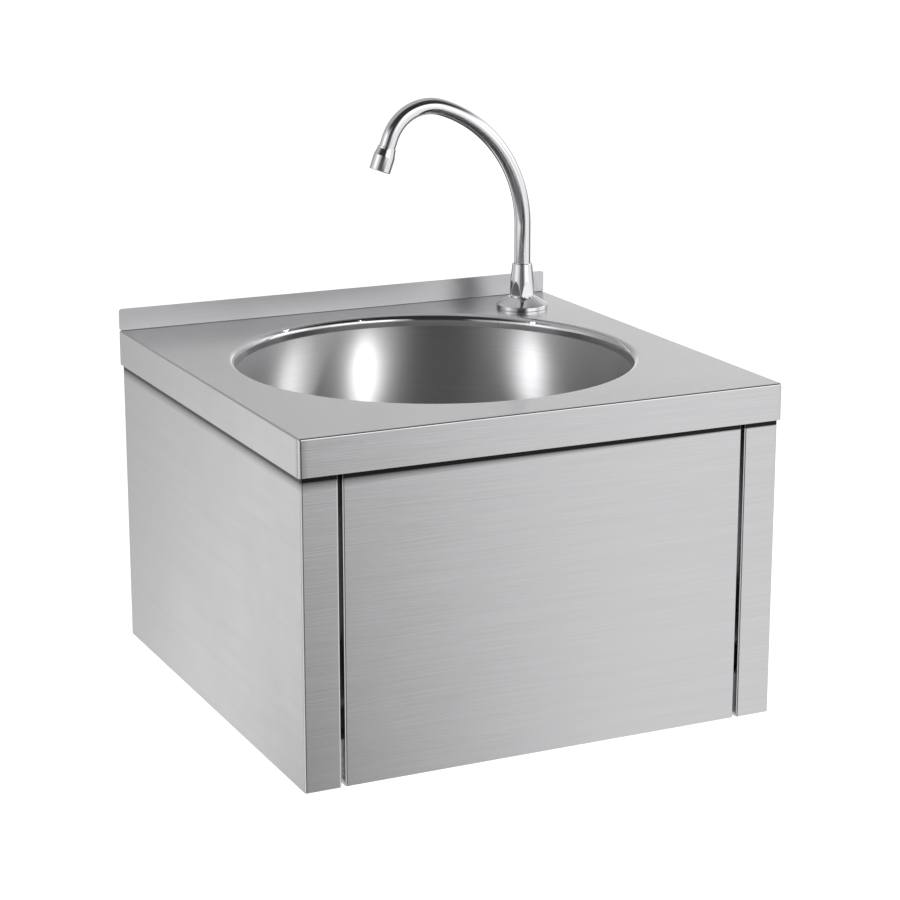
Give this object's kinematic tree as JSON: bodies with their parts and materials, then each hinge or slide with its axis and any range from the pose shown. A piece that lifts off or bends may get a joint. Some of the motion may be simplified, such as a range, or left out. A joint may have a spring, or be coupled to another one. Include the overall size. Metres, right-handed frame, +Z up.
{
  "type": "knee-operated hand wash sink",
  "caption": "Wall-hung square hand wash sink in brushed steel with a round bowl, a swan-neck tap and a hinged knee panel that works its valve.",
  "frame": {"origin": "centre of the four wall-fixing holes, on the wall plane", "axes": "+Z up, +Y into the wall, +X to the right of a person facing the sink"},
  "size_m": [0.4, 0.4, 0.4559],
  "materials": {
    "stainless_sheet": "brushed",
    "stainless_bowl": "satin",
    "stainless_inner": "satin",
    "chrome_plate": "polished",
    "stainless_waste": "polished",
    "cast_brass": "machined",
    "valve_chrome": "polished",
    "spring_steel": "drawn wire",
    "hose_braid": "braided",
    "crimped_steel": "crimped",
    "black_rubber": "matt",
    "white_nylon": "matt",
    "knob_plastic": "matt"
  },
  "bodies": {
    "casing": {"deck": "stainless_sheet", "bowl": "stainless_bowl", "side_panel_left": "stainless_sheet", "side_panel_right": "stainless_sheet", "rear_brace": "stainless_inner", "valve_rail": "stainless_inner", "pivot_pin_left": "stainless_inner", "pivot_pin_right": "stainless_inner", "pivot_clips": "stainless_inner", "valve_body": "cast_brass", "valve_cap": "cast_brass", "valve_lock_nut": "cast_brass", "valve_spring": "spring_steel", "mixer_body": "cast_brass", "mixer_plug": "cast_brass", "mixer_gland": "cast_brass", "check_valves": "white_nylon", "outlet_hose": "hose_braid", "hose_ferrules": "crimped_steel", "hose_nuts": "cast_brass", "tap_shank": "cast_brass", "tap_gasket": "black_rubber", "tap_washer": "stainless_inner", "tap_lock_nut": "cast_brass", "spout_orings": "black_rubber", "escutcheon": "chrome_plate", "tap_collar": "chrome_plate", "strainer_plate": "stainless_waste", "strainer_screw": "stainless_waste", "waste_gaskets": "black_rubber", "waste_body": "stainless_waste"},
    "knee_panel": {"knee_panel": "stainless_sheet", "pivot_bush_left": "white_nylon", "pivot_bush_right": "white_nylon", "stop_buffers": "black_rubber", "striker_pad": "black_rubber"},
    "valve_button": {"valve_button": "valve_chrome"},
    "spout": {"spout": "chrome_plate", "aerator_housing": "chrome_plate", "aerator_insert": "white_nylon", "aerator_washer": "black_rubber"},
    "mixer_knob": {"mixer_knob": "knob_plastic", "mixer_spindle": "cast_brass"}
  },
  "joints": [
    {"name": "knee_panel_swing", "type": "hinge", "parent": "casing", "child": "knee_panel", "pos_m": [0, -0.389, 0.128], "axis": [1, 0, 0], "range_deg": [0, 3.2], "stiffness_Nm_per_rad": 20, "springref_deg": -5.73},
    {"name": "valve_button_slide", "type": "slide", "parent": "casing", "child": "valve_button", "axis": [0, 1, 0], "range_m": [0, 0.0097], "deforming": ["valve_spring"]},
    {"name": "spout_swivel", "type": "hinge", "parent": "casing", "child": "spout", "pos_m": [0.15, -0.057, 0.15], "axis": [0, 0, 1], "range_deg": [-15, 195]},
    {"name": "mixer_knob_turn", "type": "hinge", "parent": "casing", "child": "mixer_knob", "pos_m": [-0.06, -0.3205, -0.085], "axis": [-1, 0, 0], "range_deg": [-45, 45]}
  ],
  "couplings": [
    {"joint": "valve_button_slide", "follows": "knee_panel_swing", "m_per_rad": 0.173}
  ]
}
